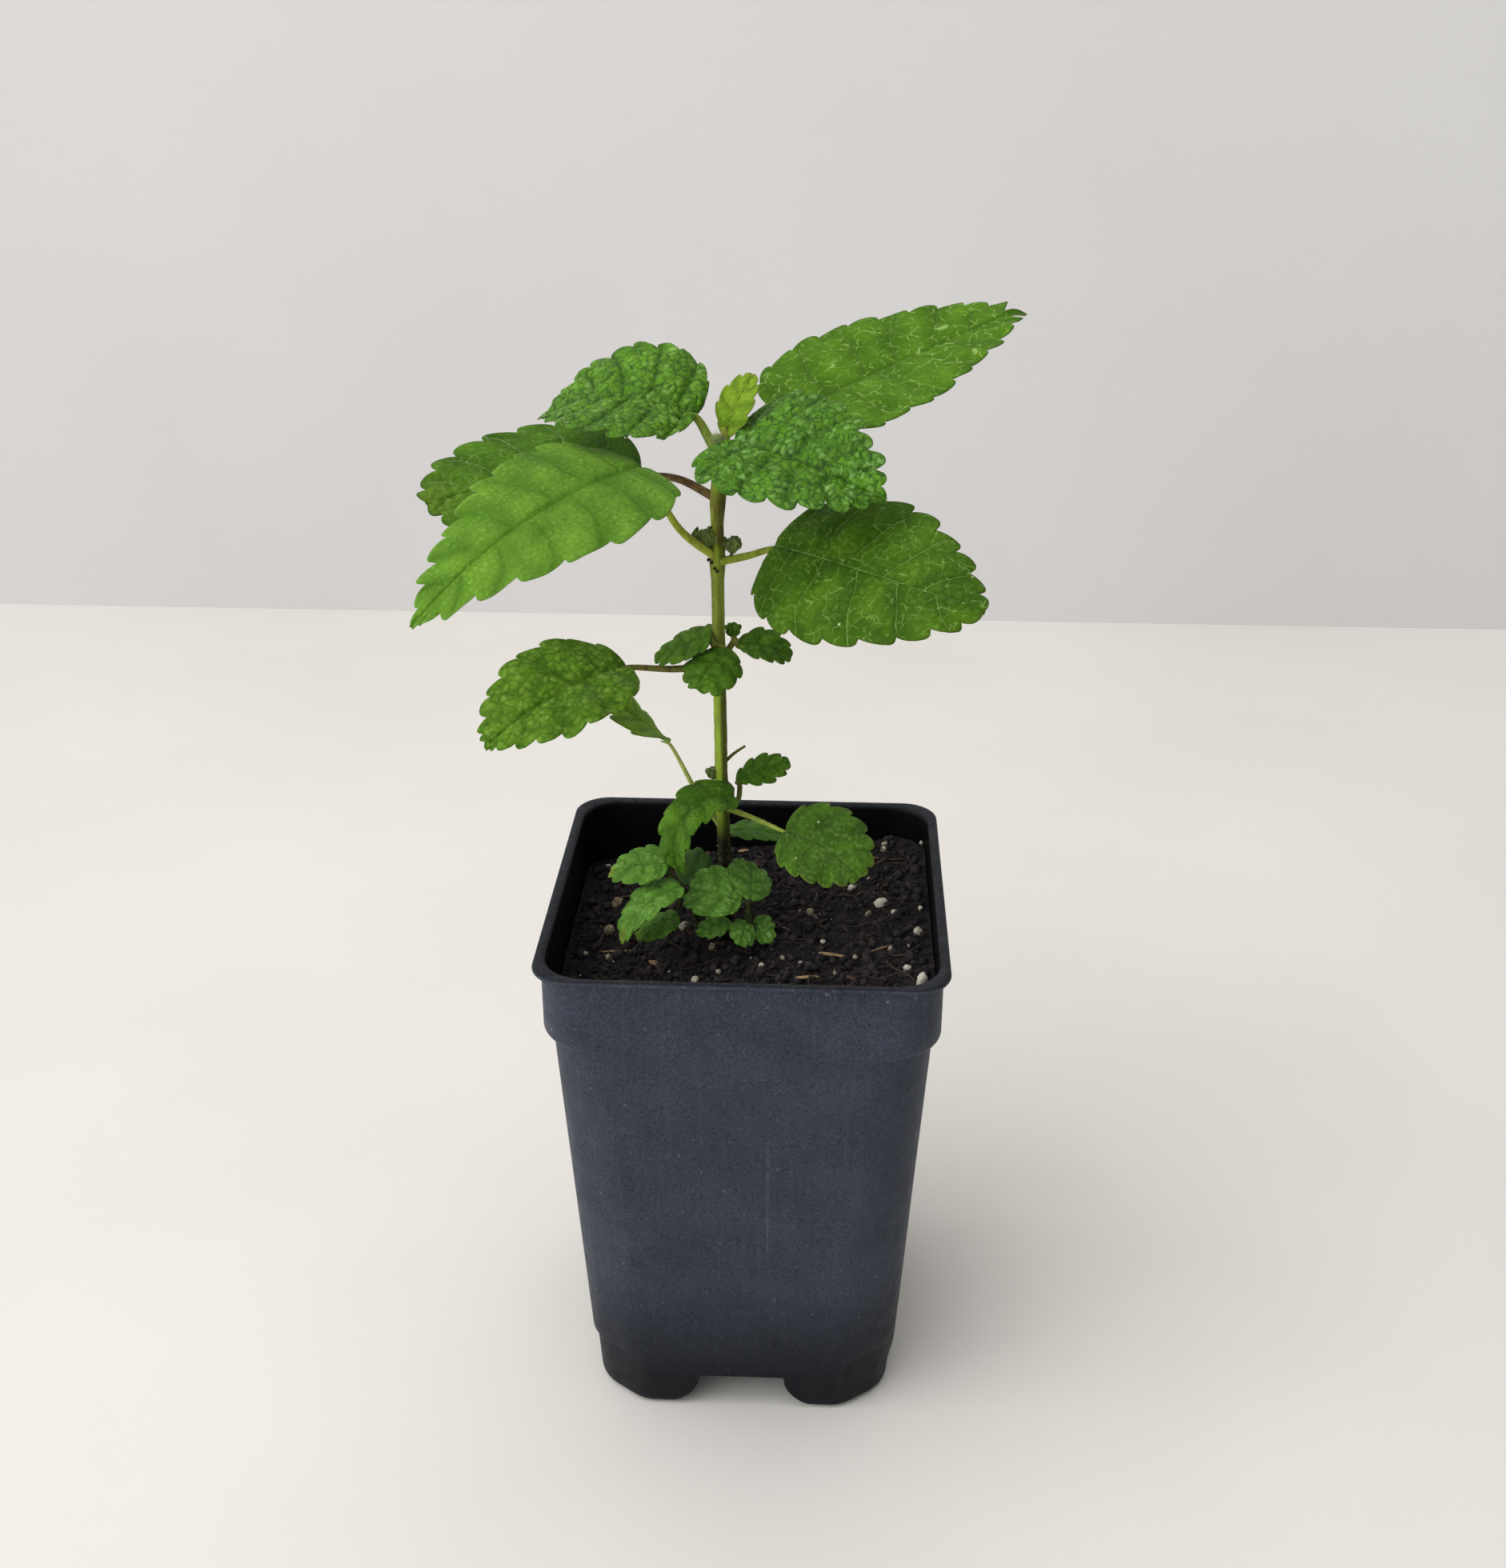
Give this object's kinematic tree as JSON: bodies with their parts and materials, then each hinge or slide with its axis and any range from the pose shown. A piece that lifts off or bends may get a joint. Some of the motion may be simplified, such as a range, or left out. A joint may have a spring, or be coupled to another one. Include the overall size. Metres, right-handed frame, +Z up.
{
  "type": "potted herb",
  "caption": "Young potted herb: leafy square stem with crenate leaves, standing in potting soil in a deep square nursery pot on lobed feet.",
  "frame": {"origin": "on the ground plane under the feet, under the middle of the whole plant's bounding box; the pot's own axis stands at x 4.8 mm, y 3.4 mm", "axes": "+Z up; -Y is the pot's front face, the side that the picture shows; +X is to the right in the picture"},
  "size_m": [0.1271, 0.0988, 0.246],
  "materials": {
    "pot_plastic": "satin, scuffed, almost black with a blue-grey cast",
    "potting_soil": "dry to the touch, crumbly dark brown peat with fibres and pale perlite grains",
    "stem": "hairy, olive to purple-brown",
    "leaf_light": "soft downy leaf, light green with a paler net of veins",
    "leaf_mid": "soft downy leaf, mid green",
    "leaf_deep": "soft downy leaf, deep bluish green, quilted",
    "leaf_mottled": "soft downy leaf, mottled with pale yellow stippling",
    "leaf_shaded": "soft downy leaf, dull dark green",
    "leaf_young": "soft downy young leaf, fresh green"
  },
  "bodies": {
    "root": {"pot": "pot_plastic", "soil": "potting_soil", "main_stem": "stem", "leaf_upper_back_right": "leaf_light", "leaf_upper_back_left": "leaf_mottled", "leaf_upper_front_left": "leaf_light", "leaf_upper_front_right": "leaf_mid", "leaf_tip_right": "leaf_deep", "leaf_tip_left": "leaf_deep", "leaf_middle_left": "leaf_mottled", "leaf_lower_back_left": "leaf_shaded", "leaf_lower_hanging": "leaf_mid", "leaf_lower_front_right": "leaf_mid", "leaf_lower_back_right": "leaf_shaded", "axil_shoot_middle_left": "leaf_young", "axil_shoot_middle_right": "leaf_young", "axil_shoot_lower_right": "leaf_young", "basal_shoot_left": "leaf_young", "basal_shoot_right": "leaf_young", "basal_shoot_back": "leaf_shaded", "tip_shoot": "leaf_young"}
  },
  "joints": []
}
